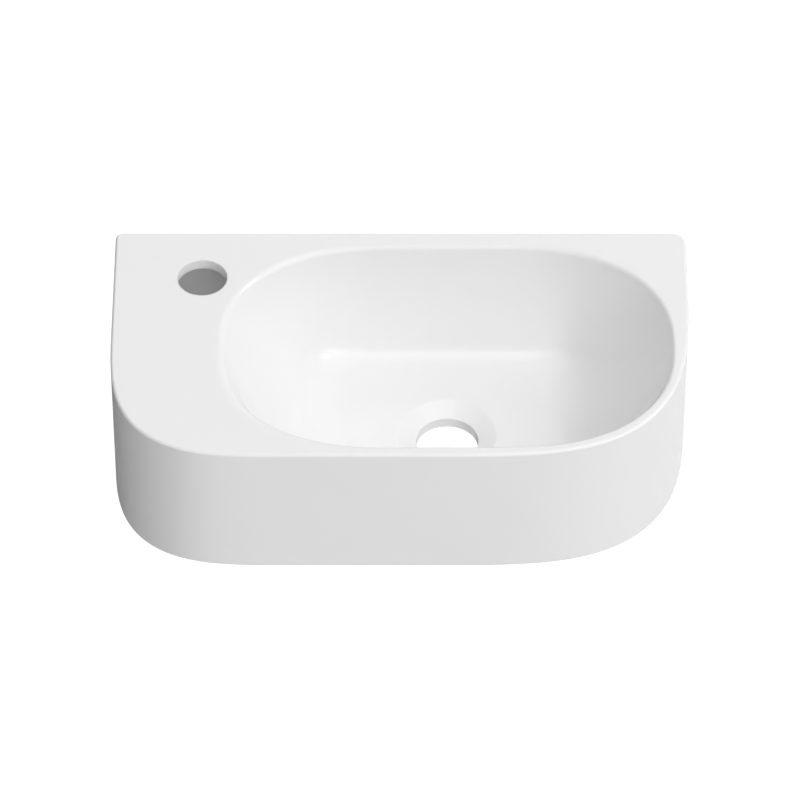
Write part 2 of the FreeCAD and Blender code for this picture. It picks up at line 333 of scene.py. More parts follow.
def closed_object(name: str, shape: Shape) -> Piece:
    """Makes an object of a closed shape, with its faces turned outwards.

    Args:
        name: The object's name.
        shape: The shape, which is freed.

    Returns:
        The object.
    """
    bmesh.ops.remove_doubles(shape, verts=shape.verts, dist=WELD)
    bmesh.ops.recalc_face_normals(shape, faces=shape.faces)
    mesh = bpy.data.meshes.new(name)
    shape.to_mesh(mesh)
    shape.free()
    return mesh_object(name, mesh)


def sheet(name: str, corners: Sequence[Sequence[float]], material: Material) -> Piece:
    """Makes one flat face of the stage.

    Args:
        name: The object's name.
        corners: Its corners, in metres.
        material: Its material.

    Returns:
        The object.
    """
    mesh = bpy.data.meshes.new(name)
    mesh.from_pydata(corners, [], [range(len(corners))])
    mesh.materials.append(material)
    piece = mesh_object(name, mesh)
    return piece


def plain_mesh(piece: Piece) -> None:
    """Turns what an object's modifiers give into its own plain mesh, and removes them."""
    evaluated = piece.evaluated_get(bpy.context.evaluated_depsgraph_get())
    mesh = bpy.data.meshes.new_from_object(evaluated)
    piece.modifiers.clear()
    piece.data = mesh


def join(piece: Piece, other: Piece, how: Joining) -> None:
    """Joins another closed mesh to a piece and removes the other.

    Args:
        piece: The piece that is kept.
        other: The mesh that is added to it or taken from it.
        how: The kind of joining.
    """
    modifier = piece.modifiers.new("joining", "BOOLEAN")
    modifier.solver = "MANIFOLD"
    modifier.operation = how.value
    modifier.object = other
    plain_mesh(piece)
    bpy.data.objects.remove(other)


def stitch(shape: Shape, loops: Sequence[Loop], closed: bool = False) -> list[list[bmesh.types.BMVert]]:
    """Joins closed loops of equal length by strips of quads.

    Args:
        shape: The shape that gets the strips.
        loops: Arrays of points in metres, taken in order.
        closed: Whether the last loop is joined to the first.

    Returns:
        The vertices of each loop.
    """
    rows = [[shape.verts.new(point) for point in loop] for loop in loops]
    following = rows[1:] + (rows[:1] if closed else [])
    for lower, upper in zip(rows, following):
        for here in range(len(lower)):
            there = (here + 1) % len(lower)
            shape.faces.new((lower[here], lower[there], upper[there], upper[here]))
    return rows


def capped(loops: Sequence[Loop]) -> Shape:
    """Closed shape of loops, with a face over the first and the last.

    Args:
        loops: Arrays of points in metres, taken in order.

    Returns:
        The shape.
    """
    shape = bmesh.new()
    rows = stitch(shape, loops)
    shape.faces.new(rows[0])
    shape.faces.new(rows[-1])
    return shape


def unit_circle(count: int) -> Loop:
    """Points round a circle with a radius of 1, from the right, anticlockwise."""
    turns = np.linspace(0.0, 2 * math.pi, count, endpoint=False)
    return np.stack([np.cos(turns), np.sin(turns)], 1)


def lathe(
    name: str, profile: Sequence[Pair], axis_point: Vector, steps: int, upright: bool = False,
) -> Piece:
    """Turns a profile about a fixing bolt's axis, or about an upright axis.

    Args:
        name: The object's name.
        profile: Closed run of (radius, place along the axis) in millimetres; its ends may lie on the axis.
        axis_point: A point of the axis, in metres.
        steps: Points round each loop.
        upright: Whether the axis is upright rather than along the bolt.

    Returns:
        The closed object.
    """
    loops = []
    for radius, along in profile:
        round_x, round_y = (unit_circle(steps) * radius).T
        level = np.full(steps, along)
        parts = (round_x, round_y, level) if upright else (round_x, level, round_y)
        loops.append(np.stack(parts, 1) * MM + np.array(axis_point))
    shape = bmesh.new()
    on_axis = profile[0][0] < WELD
    stitch(shape, loops, closed=not on_axis)
    bmesh.ops.remove_doubles(shape, verts=shape.verts, dist=WELD)
    bmesh.ops.dissolve_degenerate(shape, edges=shape.edges, dist=NO_EDGE)
    return closed_object(name, shape)


def rounded(corners: Sequence[tuple[float, float, float]], steps: int = 5) -> list[Pair]:
    """Rounds the corners of a closed run in a plane.

    Args:
        corners: (u, v, rounding) in millimetres.
        steps: Divisions of each rounding.

    Returns:
        The run's points.
    """
    points: list[Pair] = []
    for index, (u, v, rounding) in enumerate(corners):
        if rounding <= 0:
            points.append((u, v))
            continue
        here = Vector((u, v))
        before = (Vector(corners[index - 1][:2]) - here).normalized()
        after = (Vector(corners[(index + 1) % len(corners)][:2]) - here).normalized()
        half = before.angle(after) / 2
        reach = rounding / math.tan(half)
        centre = here + (before + after).normalized() * (rounding / math.sin(half))
        start, end = here + before * reach - centre, here + after * reach - centre
        spread = math.pi - 2 * half
        for step in range(steps + 1):
            share = step / steps
            weight_end = math.sin(share * spread) / math.sin(spread)
            weight_start = math.sin((1 - share) * spread) / math.sin(spread)
            point = centre + start * weight_start + end * weight_end
            points.append((point.x, point.y))
    return points


def finish_piece(piece: Piece, material: Material, body: str, node: str) -> None:
    """Dresses a finished piece, hangs it on its body and hides the solid that it stands for.

    Args:
        piece: The piece, at the origin.
        material: Its material.
        body: The body that carries it.
        node: The solid that it stands for.
    """
    piece.data.materials.clear()
    piece.data.materials.append(material)
    piece.data.shade_smooth()
    piece.data.set_sharp_from_angle(angle=SHARP_ANGLE)
    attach(piece, body)
    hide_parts(node)
    LOG.info("%s: %d faces, on %s, for %s", piece.name, len(piece.data.polygons), body, node)


@dataclass
class SoftPolygon:
    """A closed plan outline whose corners leave their sides without a jump in curvature.

    Each corner is (x, y, reach along x, reach along y), in millimetres, anticlockwise from the back left.
    The fullness says how far along its reach a corner's curve is held to the side.
    """

    corners: list[tuple[float, float, float, float]]
    fullness: Pair
    samples: int = 240

    def path(self) -> Loop:
        """Points along the outline.

        Returns:
            Array of (x, y), closed by its first point.
        """
        share = np.linspace(0.0, 1.0, self.samples)[:, None]
        points = []
        for index, (x, y, reach_x, reach_y) in enumerate(self.corners):
            corner = np.array((x, y))
            legs = []
            for other in (self.corners[index - 1], self.corners[(index + 1) % len(self.corners)]):
                way = np.array((np.sign(other[0] - x) * reach_x, np.sign(other[1] - y) * reach_y))
                way[np.argmin(np.abs(np.array(other[:2]) - corner))] = 0.0
                legs.append(way)
            poles = [corner + legs[0] * weight for weight in (1.0, *self.fullness)]
            poles += [corner + legs[1] * weight for weight in (*reversed(self.fullness), 1.0)]
            degree = len(poles) - 1
            points.append(sum(
                math.comb(degree, order) * share ** order * (1 - share) ** (degree - order) * pole
                for order, pole in enumerate(poles)
            ))
        run = np.concatenate(points)
        return np.vstack([run, run[:1]])

    def evenly(self, count: int) -> Loop:
        """Points spaced evenly, from the middle of the right side, anticlockwise seen from above.

        Args:
            count: How many points.

        Returns:
            Array of (x, y).
        """
        run = self.path()
        area = np.sum(run[:-1, 0] * run[1:, 1] - run[1:, 0] * run[:-1, 1])
        if area < 0:
            run = run[::-1]
        lengths = np.concatenate([[0.0], np.cumsum(np.linalg.norm(np.diff(run, axis=0), axis=1))])
        total = lengths[-1]
        right = max(corner[0] for corner in self.corners)
        near = 1e-6
        side = [index for index in range(len(run) - 1) if abs(run[index, 0] - right) < near]
        lower = min(side, key=lambda index: run[index, 1])
        upper = max(side, key=lambda index: run[index, 1])
        start = lengths[lower] + (run[upper, 1] - run[lower, 1]) / 2
        places = (start + np.arange(count) / count * total) % total
        return np.stack([np.interp(places, lengths, run[:, axis]) for axis in (0, 1)], 1)


def outward(loop: Loop) -> Loop:
    """Unit normals of a closed anticlockwise plan loop, pointing out."""
    along = np.roll(loop, -1, axis=0) - np.roll(loop, 1, axis=0)
    normal = np.stack([along[:, 1], -along[:, 0]], 1)
    return normal / np.linalg.norm(normal, axis=1)[:, None]


def at_height(loop: Loop, z: float | Loop) -> Loop:
    """Plan points in millimetres, lifted to a height and turned to metres."""
    level = np.broadcast_to(np.asarray(z, float), (len(loop),))
    return np.column_stack([loop, level]) * MM


def drawn_in(plan: Loop, runs: Sequence[Pair]) -> list[Loop]:
    """Loops of one plan in metres, each drawn in and lifted as its run of (inset, height) says."""
    out = outward(plan)
    return [at_height(plan - out * inset, z) for inset, z in runs]


def round_offsets(radius: float, steps: int) -> list[Pair]:
    """Inset from the wall and drop below the level face along a quarter round, from the wall upwards."""
    angles = [QUARTER * step / steps for step in range(steps + 1)]
    return [(radius * (1 - math.cos(a)), radius * (1 - math.sin(a))) for a in angles]


@dataclass
class BasinBody:
    """The ceramic casting: outer wall, deck, bowl, waste outlet, tap hole and hollow underside.

    Sizes are in millimetres, in the part's frame. Points, rings and steps say how finely it is divided.
    """

    name: str = "glazed_basin"
    # Outer wall
    left_x: float = -235.5
    right_x: float = 169.5
    front_y: float = -220.0
    deck_z: float = 65.0
    lower_z: float = -47.0
    left_corner: float = 126.0
    right_corner: float = 178.0
    back_left_corner: float = 8.0
    back_right_corner: float = 16.0
    outline_fullness: Pair = (0.46, 0.26)
    outline_points: int = 720
    body_rings: int = 8
    top_round: float = 2.2
    top_steps: int = 9
    lower_round: float = 2.0
    lower_steps: int = 6
    # Hollow underside
    skirt_wall: float = 9.0
    back_wall: float = 10.0
    deck_thickness: float = 8.0
    hollow_corner: float = 10.0
    hollow_round: float = 4.0
    hollow_steps: int = 6
    bowl_shell: float = 8.0
    shell_points: int = 288
    spare: float = 2.0
    # Bowl
    rim_half_length: float = 158.0
    rim_half_width: float = 98.15
    rim_y: float = -112.65
    rim_corner: float = 118.5
    rim_end_straight: float = 1.0
    rim_fullness: Pair = (0.80, 0.33)
    rim_steps: int = 12
    bowl_depth: float = 87.0
    end_lean: float = 38.0
    side_lean: float = 13.4
    end_floor_radius: float = 46.0
    side_floor_radius: float = 13.0
    floor_corner: float = 14.0
    bowl_points: int = 512
    wall_rings: int = 32
    curve_rings: int = 16
    # Depth at which the wall's lean is measured, and the wall's run in which the rim's roundings level out
    lean_probe: float = 2.0
    blend_drop: float = 1.0
    blend_rings: int = 5
    # Rounding of the rim round the bowl, by bearing in degrees from the right, anticlockwise from above
    rim_rounds: dict[float, float] = field(default_factory=lambda: {
        0.0: 3.5, 45.0: 4.2, 90.0: 5.0, 150.0: 5.5, 180.0: 7.0,
        198.0: 10.0, 222.0: 6.0, 270.0: 4.4, 320.0: 4.0, 360.0: 3.5,
    })
    # Waste outlet
    waste_y: float = -114.5
    floor_fall: float = 1.6
    fall_rings: int = 14
    dish_radius: float = 35.0
    dish_depth: float = 6.4
    dish_round: float = 4.0
    dish_steps: int = 8
    # How far outside the dish the floor's fall is round, and its height there above the dish's edge
    dish_apron: float = 12.0
    dish_apron_rise: float = 0.5
    hole_radius: float = 22.0
    hole_wall: float = 8.0
    hole_edge_round: float = 0.8
    boss_radius: float = 44.0
    boss_points: int = 128
    # Tap hole
    tap_x: float = -173.0
    tap_y: float = -46.0
    tap_radius: float = 17.5
    tap_edge_round: float = 0.5
    tap_steps: int = 5
    tap_points: int = 128
    # Fixing holes through the back wall
    fixing_x: float = 135.0
    fixing_radius: float = 7.0
    fixing_edge_round: float = 0.8
    fixing_steps: int = 4
    fixing_points: int = 64
    # Narrow level strip beside a rounding, which keeps the flat face flat in the shading
    edge_strip: float = 0.3
    # A face this near to the wall plane lies on it
    wall_level: float = 0.01

    def outline(self, inset: float, back_y: float, back_left: float, back_right: float) -> Loop:
        """Plan outline of the outer wall.

        Args:
            inset: How far it is drawn in from the sides and the front.
            back_y: Where its back lies.
            back_left: Reach of its back left corner.
            back_right: Reach of its back right corner.

        Returns:
            Array of (x, y).
        """
        left, right, front = self.left_x + inset, self.right_x - inset, self.front_y + inset
        front_left, front_right = self.left_corner - inset, self.right_corner - inset
        return SoftPolygon([
            (left, back_y, back_left, back_left),
            (left, front, front_left, front_left),
            (right, front, front_right, front_right),
            (right, back_y, back_right, back_right),
        ], self.outline_fullness).evenly(self.outline_points)

    def wall_half(self, rim_half: float, lean: float, radius: float, depth: float) -> float:
        """Half size of the bowl at a depth: a leaning wall, then a curve onto the floor.

        Args:
            rim_half: Half size at the rim.
            lean: The wall's angle from upright, in degrees.
            radius: Radius of the curve onto the floor.
            depth: Depth below the deck.

        Returns:
            The half size.
        """
        slope = math.radians(lean)
        tangent = radius * math.tan((QUARTER - slope) / 2)
        height = self.bowl_depth - depth
        if height >= tangent * math.cos(slope):
            return rim_half - depth * math.tan(slope)
        foot = rim_half - self.bowl_depth * math.tan(slope)
        return foot - tangent + math.sqrt(max(radius ** 2 - (radius - height) ** 2, 0.0))

    def bowl_ring(self, inside: float, grow: float = 0.0) -> Loop:
        """Plan outline of the bowl at a depth.

        Args:
            inside: Depth of the ring inside the bowl.
            grow: How far the outline is moved out, to the outside of the shell.

        Returns:
            Array of (x, y).
        """
        share = min(max(inside, 0.0) / self.bowl_depth, 1.0)
        length = self.wall_half(self.rim_half_length, self.end_lean, self.end_floor_radius, inside) + grow
        width = self.wall_half(self.rim_half_width, self.side_lean, self.side_floor_radius, inside) + grow
        rim_reach = self.rim_half_width - self.rim_end_straight / 2
        reach_x = self.rim_corner + (self.floor_corner - self.rim_corner) * share + grow
        reach_y = rim_reach + (self.floor_corner - rim_reach) * share + grow
        centre = self.rim_y + (self.waste_y - self.rim_y) * share
        ways = ((-1, 1), (-1, -1), (1, -1), (1, 1))
        corners = [(x * length, centre + y * width, reach_x, reach_y) for x, y in ways]
        count = self.shell_points if grow else self.bowl_points
        return SoftPolygon(corners, self.rim_fullness).evenly(count)

    def rim_rounding(self, rim: Loop) -> Loop:
        """Rounding of the rim at each of its points, eased between the stated bearings."""
        bearing = np.degrees(np.arctan2(rim[:, 1] - self.rim_y, rim[:, 0])) % 360.0
        known, sizes = list(self.rim_rounds), list(self.rim_rounds.values())
        rounding = np.zeros(len(rim))
        for index, angle in enumerate(bearing):
            place = max(i for i, a in enumerate(known[:-1]) if a <= angle)
            share = (angle - known[place]) / (known[place + 1] - known[place])
            ease = 0.5 - 0.5 * math.cos(math.pi * share)
            rounding[index] = sizes[place] + (sizes[place + 1] - sizes[place]) * ease
        return rounding

    def floor_depths(self, start: float) -> list[float]:
        """Depths of the bowl's rings from below the rim's rounding to the floor."""
        turn = QUARTER - math.radians(self.side_lean)
        angles = [turn * (1 - step / self.curve_rings) for step in range(self.curve_rings + 1)]
        curve = [self.bowl_depth - self.side_floor_radius * (1 - math.cos(angle)) for angle in angles]
        wall = [start + (curve[0] - start) * step / self.wall_rings for step in range(self.wall_rings)]
        return wall + curve

    def bowl_loops(self) -> list[Loop]:
        """Loops of the bowl from the deck's level strip down to the closed foot of the waste hole.

        Returns:
            Arrays of points in metres.
        """
        rim = self.bowl_ring(0.0)
        out = outward(rim)
        fall = np.sum((rim - self.bowl_ring(self.lean_probe)) * out, axis=1)
        lean = np.arctan2(fall, self.lean_probe)
        radius = self.rim_rounding(rim)
        reach = radius * np.tan((QUARTER - lean) / 2)
        deck_edge = rim + out * reach[:, None]
        loops = [at_height(deck_edge + out * self.edge_strip, self.deck_z)]
        for step in range(self.rim_steps + 1):
            angle = (QUARTER - lean) * step / self.rim_steps
            inward = deck_edge - out * (radius * np.sin(angle))[:, None]
            loops.append(at_height(inward, self.deck_z - radius * (1 - np.cos(angle))))
        depth_here = reach * np.cos(lean)
        wall_start = float(np.max(depth_here)) + self.blend_drop
        for step in range(1, self.blend_rings):
            depth = depth_here + (wall_start - depth_here) * step / self.blend_rings
            point = rim - out * (depth * np.tan(lean))[:, None]
            loops.append(at_height(point, self.deck_z - depth))
        for depth in self.floor_depths(wall_start):
            loops.append(at_height(self.bowl_ring(depth), self.deck_z - depth))
        return loops + self.waste_loops(self.bowl_ring(self.bowl_depth))

    def waste_loops(self, floor: Loop) -> list[Loop]:
        """Loops of the floor's fall, the dish and the waste hole.

        Args:
            floor: Plan outline of the floor's edge.

        Returns:
            Arrays of points in metres.
        """
        circle = unit_circle(len(floor))
        centre = np.array((0.0, self.waste_y))
        floor_z = self.deck_z - self.bowl_depth
        dish_z = floor_z - self.floor_fall
        hole_z = dish_z - self.dish_depth
        profile = rounded([
            (self.dish_radius + self.dish_apron, dish_z + self.dish_apron_rise, 0.0),
            (self.dish_radius, dish_z, self.dish_round),
            (self.hole_radius, hole_z, self.hole_edge_round),
            (self.hole_radius, hole_z - self.hole_wall - self.spare, 0.0),
        ], self.dish_steps)
        loops = []
        start_radius, start_z = profile[0]
        for step in range(1, self.fall_rings):
            share = step / self.fall_rings
            plan = floor * (1 - share) + (centre + circle * start_radius) * share
            ease = share * share * (2.0 - share)
            loops.append(at_height(plan, floor_z + (start_z - floor_z) * ease))
        return loops + [at_height(centre + circle * radius, z) for radius, z in profile]

    def tap_loops(self) -> list[Loop]:
        """Loops of the tap hole from the deck's level strip to its closed foot."""
        edge = self.tap_edge_round
        runs = [(edge + self.edge_strip, 0.0)]
        runs += [(drop, inset) for inset, drop in reversed(round_offsets(edge, self.tap_steps))]
        runs += [(0.0, edge + self.edge_strip), (0.0, self.deck_thickness + self.spare)]
        circle, centre = unit_circle(self.tap_points), np.array((self.tap_x, self.tap_y))
        radii = [(self.tap_radius + wide, drop) for wide, drop in runs]
        return [at_height(centre + circle * radius, self.deck_z - drop) for radius, drop in radii]

    def block(self) -> Piece:
        """The body before it is hollowed, closed at the foot of its two holes.

        Returns:
            The closed object.
        """
        low, high = self.lower_z + self.lower_round, self.deck_z - self.top_round
        walls = [low + self.edge_strip]
        walls += [low + (high - low) * step / self.body_rings for step in range(1, self.body_rings)]
        walls.append(high - self.edge_strip)
        foot = reversed(round_offsets(self.lower_round, self.lower_steps))
        top = round_offsets(self.top_round, self.top_steps)
        shape = bmesh.new()
        outer_rows = stitch(shape, drawn_in(
            self.outline(0.0, 0.0, self.back_left_corner, self.back_right_corner),
            [
                (self.lower_round + self.edge_strip, self.lower_z),
                *[(inset, self.lower_z + drop) for inset, drop in foot],
                *[(0.0, z) for z in walls],
                *[(inset, self.deck_z - drop) for inset, drop in top],
                (self.top_round + self.edge_strip, self.deck_z),
            ],
        ))
        shape.faces.new(outer_rows[0])
        edges_of_deck = [outer_rows[-1]]
        for loops in (self.bowl_loops(), self.tap_loops()):
            rows = stitch(shape, loops)
            shape.faces.new(rows[-1])
            edges_of_deck.append(rows[0])
        edges = []
        for row in edges_of_deck:
            for here, vertex in enumerate(row):
                edges.append(shape.edges.get((vertex, row[(here + 1) % len(row)])))
        bmesh.ops.triangle_fill(shape, edges=edges, use_beauty=True, normal=(0.0, 0.0, 1.0))
        return closed_object(self.name, shape)

    def hollow(self) -> Piece:
        """The space under the deck and round the bowl's shell, open downwards, with the fixing holes.

        Returns:
            The closed object that is taken from the block.
        """
        top_z = self.deck_z - self.deck_thickness
        lip = self.lower_round
        mouth = round_offsets(lip, self.hollow_steps)
        top = round_offsets(self.hollow_round, self.hollow_steps)
        space = closed_object("hollow", capped(drawn_in(
            self.outline(self.skirt_wall, -self.back_wall, self.hollow_corner, self.hollow_corner),
            [
                (-lip, self.lower_z - self.spare),
                *[(-drop, self.lower_z + inset) for inset, drop in mouth],
                (0.0, self.lower_z + lip + self.edge_strip),
                (0.0, top_z - self.hollow_round - self.edge_strip),
                *[(inset, top_z - drop) for inset, drop in top],
            ],
        )))
        join(space, self.bowl_outside(), Joining.TAKE_AWAY)
        floor_z = self.deck_z - self.bowl_depth
        foot_z = floor_z - self.floor_fall - self.dish_depth - self.hole_wall
        boss = lathe("boss", rounded([
            (0.0, floor_z, 0.0),
            (self.boss_radius, floor_z, 0.0),
            (self.boss_radius, foot_z, self.lower_round),
            (0.0, foot_z, 0.0),
        ]), Vector((0.0, self.waste_y, 0.0)) * MM, self.boss_points, upright=True)
        join(space, boss, Joining.TAKE_AWAY)
        edge, depth = self.fixing_edge_round, -self.back_wall - self.spare
        rounds = reversed(round_offsets(edge, self.fixing_steps))
        profile = [
            (0.0, self.spare),
            (self.fixing_radius + edge, self.spare),
            *[(self.fixing_radius + drop, inset - edge) for inset, drop in rounds],
            (self.fixing_radius, depth),
            (0.0, depth),
        ]
        for x in (-self.fixing_x, self.fixing_x):
            hole = lathe("fixing_hole", profile, Vector((x, 0.0, 0.0)) * MM, self.fixing_points)
            join(space, hole, Joining.ADD)
        return space

    def bowl_outside(self) -> Piece:
        """The outside of the bowl's shell as a closed object."""
        grow = self.bowl_shell
        return closed_object("bowl_outside", capped([
            at_height(self.bowl_ring(depth, grow), self.deck_z - depth - grow)
            for depth in [-self.spare] + self.floor_depths(0.0)
        ]))

    def build(self, material: Material) -> None:
        """Builds and dresses the casting.

        Args:
            material: The glazed china.
        """
        piece, space = self.block(), self.hollow()
        for kind, part in enumerate((piece, space)):
            part.data.materials.append(material)
            part.data.materials.append(material)
            part.data.polygons.foreach_set("material_index", [kind] * len(part.data.polygons))
        join(piece, space, Joining.TAKE_AWAY)
        self.mark_bare_and_shade(piece.data)
        finish_piece(piece, material, "basin", "basin_body")

    def mark_bare_and_shade(self, mesh: bpy.types.Mesh) -> None:
        """Marks the faces without glaze, whose colour also paints the hollow's shade: those of the hollow,
        and the ground face against the wall.

        Args:
            mesh: The casting, with the hollow's faces in its second slot.
        """
        level = self.wall_level * MM
        mark = mesh.attributes.new(CHINA.bare_and_shade_mark, "FLOAT", "FACE")
        for face in mesh.polygons:
            ground = all(mesh.vertices[corner].co.y > -level for corner in face.vertices)
            mark.data[face.index].value = 1.0 if ground or face.material_index else 0.0


# Points of a thread or a rib in one turn
TURN_POINTS = 48
# Share of a thread over which it runs out at each end, and the size that is left there
RUN_OUT = 0.04
RUN_OUT_SIZE = 0.25


@dataclass
class NodeShape:
    """A Geometry Nodes tree that makes one repeated shape, with named inputs for its sizes."""

    name: str
    inputs: dict[str, float | int]
    fill: Callable[[Tree, Node], Socket]

    def make(self, material: Material) -> Piece:
        """Builds the tree, evaluates it and keeps the plain mesh.

        Args:
            material: What the tree's Set Material gives its faces.

        Returns:
            The object, with no modifier left on it.
        """
        tree = bpy.data.node_groups.new(self.name, "GeometryNodeTree")
        tree.interface.new_socket("Geometry", in_out="OUTPUT", socket_type="NodeSocketGeometry")
        values = {}
        for label, value in self.inputs.items():
            kind = "NodeSocketInt" if isinstance(value, int) else "NodeSocketFloat"
            socket = tree.interface.new_socket(label, in_out="INPUT", socket_type=kind)
            values[socket.identifier] = value
        shape = self.fill(tree, add_node(tree, "NodeGroupInput"))
        whole = add_node(tree, "GeometryNodeRealizeInstances", {"Geometry": shape}).outputs[0]
        dressed = add_node(tree, "GeometryNodeSetMaterial", {"Geometry": whole, "Material": material})
        add_node(tree, "NodeGroupOutput", {0: dressed.outputs[0]})
        piece = mesh_object(self.name, bpy.data.meshes.new(self.name))
        modifier = piece.modifiers.new(self.name, "NODES")
        modifier.node_group = tree
        for identifier, value in values.items():
            modifier[identifier] = value
        plain_mesh(piece)
        return piece


def swept_tooth(tree: Tree, group_in: Node, curve: Node, sockets: dict[str, SocketValue]) -> Socket:
    """Nodes that sweep a tooth along a curve round the Z axis.

    Args:
        tree: The tree.
        group_in: Its input node, with Foot, Crest, Height and Lean.
        curve: The curve's node.
        sockets: Further inputs of the sweep.

    Returns:
        The swept geometry.
    """
    size = group_in.outputs
    upright = add_node(tree, "GeometryNodeSetCurveNormal", {"Curve": curve.outputs[0]}, mode="Z_UP")
    tooth = add_node(tree, "GeometryNodeCurvePrimitiveQuadrilateral", {
        "Bottom Width": size["Foot"],
        "Top Width": size["Crest"],
        "Height": size["Height"],
        "Offset": size["Lean"],
    }, mode="TRAPEZOID")
    return add_node(tree, "GeometryNodeCurveToMesh", {
        "Curve": upright.outputs[0], "Profile Curve": tooth.outputs[0], **sockets,
    }).outputs[0]


def helix_ridge(tree: Tree, group_in: Node) -> Socket:
    """Nodes that sweep a thread's ridge along a helix that stands on the Z axis.

    Args:
        tree: The tree.
        group_in: Its input node, with Turns, Length, Radius and the tooth's sizes.

    Returns:
        The ridge's geometry.
    """
    size = group_in.outputs
    helix = add_node(tree, "GeometryNodeCurveSpiral", {
        "Resolution": TURN_POINTS,
        "Rotations": size["Turns"],
        "Start Radius": size["Radius"],
        "End Radius": size["Radius"],
        "Height": size["Length"],
    })
    along = add_node(tree, "GeometryNodeSplineParameter").outputs["Factor"]
    run_in = map_range(tree, along, (0.0, RUN_OUT), (RUN_OUT_SIZE, 1.0))
    run_out = map_range(tree, along, (1.0 - RUN_OUT, 1.0), (1.0, RUN_OUT_SIZE))
    ease = calculate(tree, "MINIMUM", run_in, run_out)
    return swept_tooth(tree, group_in, helix, {"Scale": ease, "Fill Caps": True})


def ring_ribs(tree: Tree, group_in: Node) -> Socket:
    """Nodes that set sawtooth rings in a row along the Z axis.

    Args:
        tree: The tree.
        group_in: Its input node, with Count, Spacing, Radius and the tooth's sizes.

    Returns:
        The rings' geometry.
    """
    size = group_in.outputs
    step = add_node(tree, "ShaderNodeCombineXYZ", {"Z": size["Spacing"]})
    row = add_node(tree, "GeometryNodeMeshLine", {"Count": size["Count"], "Offset": step.outputs[0]})
    circle = add_node(tree, "GeometryNodeCurvePrimitiveCircle", {
        "Resolution": TURN_POINTS, "Radius": size["Radius"],
    })
    return add_node(tree, "GeometryNodeInstanceOnPoints", {
        "Points": row.outputs[0], "Instance": swept_tooth(tree, group_in, circle, {}),
    }).outputs[0]


